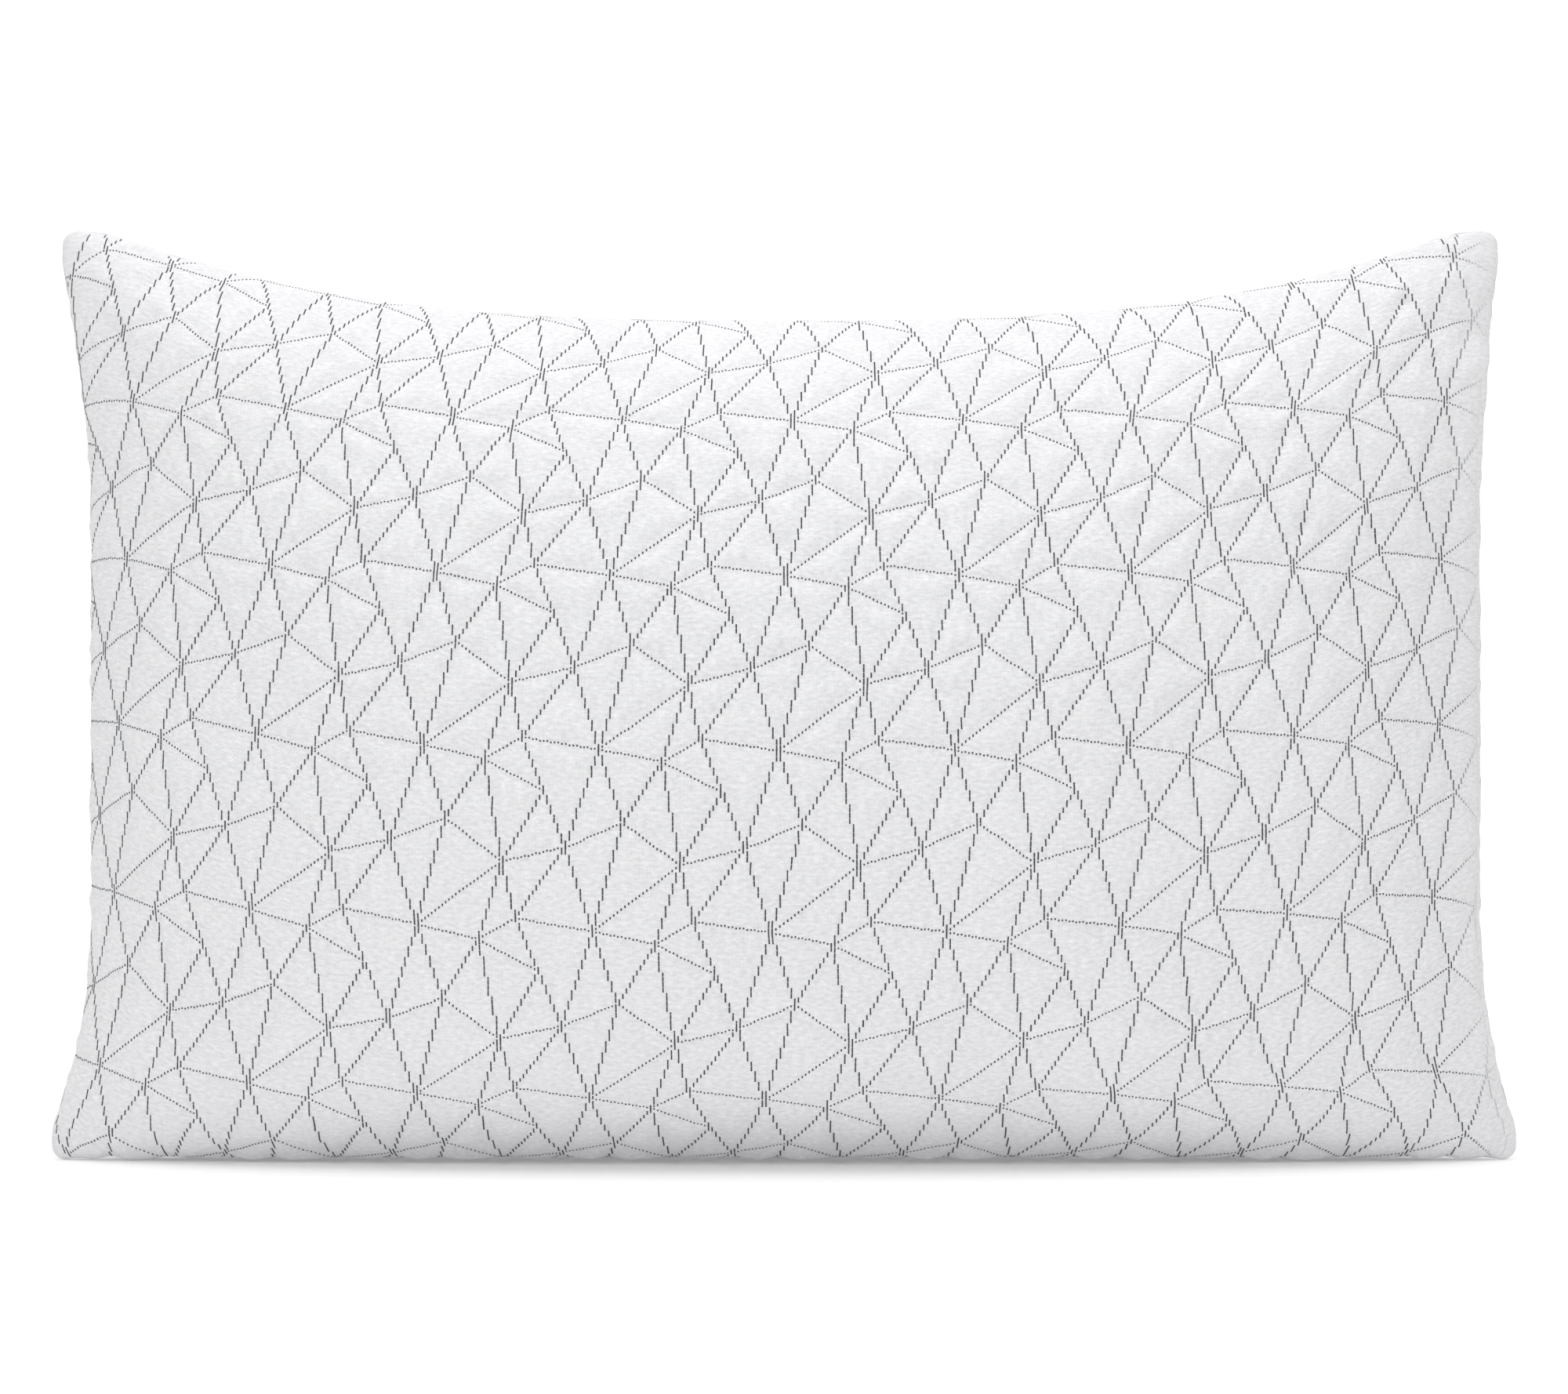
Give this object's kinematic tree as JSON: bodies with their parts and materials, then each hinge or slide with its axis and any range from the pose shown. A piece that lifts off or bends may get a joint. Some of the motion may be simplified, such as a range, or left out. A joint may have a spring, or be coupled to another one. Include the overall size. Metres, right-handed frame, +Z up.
{
  "type": "bed pillow",
  "caption": "Plump rectangular bed pillow standing on a long edge: quilted knit cover with a hidden side zip over a zipped inner case of loose foam.",
  "frame": {"origin": "on the floor under the middle of the pillow, which stands on one long edge", "axes": "+X along the pillow's length towards the zipped short side, -Y out of the front, +Z up"},
  "size_m": [0.755, 0.208, 0.4774],
  "materials": {
    "knit_cover": "matt white quilted double knit with a fine grey line pattern",
    "case_cloth": "plain smooth white cloth",
    "seam_thread": "white sewing thread",
    "pattern_thread": "dark grey knitted-in thread",
    "zip_tape": "woven off-white tape",
    "zip_teeth": "moulded off-white plastic",
    "zip_metal": "nickel-plated",
    "label_cloth": "blank satin ribbon",
    "foam": "loose shredded foam"
  },
  "bodies": {
    "pillow": {"cover_front": "knit_cover", "cover_back": "knit_cover", "cover_seam": "seam_thread", "care_label": "label_cloth", "zip_tape_front": "zip_tape", "zip_tape_back": "zip_tape", "zip_teeth_front": "zip_teeth", "zip_teeth_back": "zip_teeth", "zip_top_stops": "zip_metal", "zip_bottom_stop": "zip_metal", "liner_front": "case_cloth", "liner_back": "case_cloth", "liner_seam": "seam_thread", "liner_zip_tape_front": "zip_tape", "liner_zip_tape_back": "zip_tape", "liner_zip_teeth_front": "zip_teeth", "liner_zip_teeth_back": "zip_teeth", "liner_zip_top_stops": "zip_metal", "liner_zip_bottom_stop": "zip_metal", "foam_fill": "foam"},
    "slider": {"zip_slider": "zip_metal"},
    "pull_tab": {"zip_pull": "zip_metal"},
    "liner_slider": {"liner_zip_slider": "zip_metal"}
  },
  "joints": [
    {"name": "zip_slide", "type": "slide", "parent": "pillow", "child": "slider", "axis": [0, 0, 1], "range_m": [0, 0.2885], "deforming": ["zip_teeth_front", "zip_teeth_back"]},
    {"name": "pull_swing", "type": "hinge", "parent": "slider", "child": "pull_tab", "pos_m": [0.3539, 0, 0.0945], "axis": [0, -1, 0], "range_deg": [0, 175]},
    {"name": "liner_zip_slide", "type": "slide", "parent": "pillow", "child": "liner_slider", "axis": [0, 0, 1], "range_m": [0, 0.2485], "deforming": ["liner_zip_teeth_front", "liner_zip_teeth_back"]}
  ]
}
